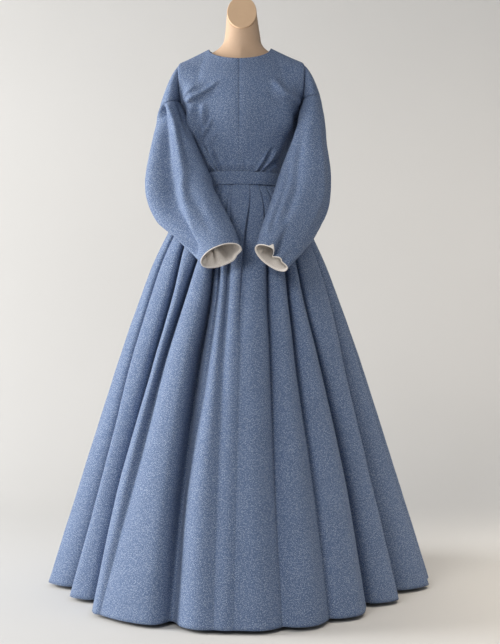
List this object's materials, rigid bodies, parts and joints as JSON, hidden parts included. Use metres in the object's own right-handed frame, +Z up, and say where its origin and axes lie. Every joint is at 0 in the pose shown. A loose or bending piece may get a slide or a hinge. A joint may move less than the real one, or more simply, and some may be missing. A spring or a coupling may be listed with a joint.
{
  "type": "day dress on a dress form",
  "caption": "Long-sleeved, floor-length day dress with a pleated bell skirt, a waistband and dropped shoulders, worn by a limbless dress form on a round base.",
  "frame": {"origin": "on the floor, at the middle of the underside of the round base, which is the middle of the hem's outline", "axes": "+Z up; the front of the dress faces -Y; the wearer's right side is toward -X and the left side toward +X"},
  "size_m": [1.03, 1.0198, 1.587],
  "materials": {
    "printed_cotton": "mid-blue cotton with a fine off-white speckle and a slight sheen",
    "cream_lining": "plain cream cotton, matt",
    "form_skin": "tan, smooth and softly satin",
    "form_cap": "tan, smooth and matt",
    "stand_metal": "dark grey powder coat"
  },
  "bodies": {
    "root": {"bodice_front_right": "printed_cotton", "bodice_front_left": "printed_cotton", "bodice_back": "printed_cotton", "sleeve_upper_right": "printed_cotton", "sleeve_under_right": "printed_cotton", "sleeve_upper_left": "printed_cotton", "sleeve_under_left": "printed_cotton", "cuff_lining_right": "cream_lining", "cuff_lining_left": "cream_lining", "waistband": "printed_cotton", "skirt_front": "printed_cotton", "skirt_side_left": "printed_cotton", "skirt_back": "printed_cotton", "skirt_side_right": "printed_cotton", "form_torso": "form_skin", "neck_cap": "form_cap", "stand_pole": "stand_metal", "stand_base": "stand_metal"}
  },
  "joints": []
}
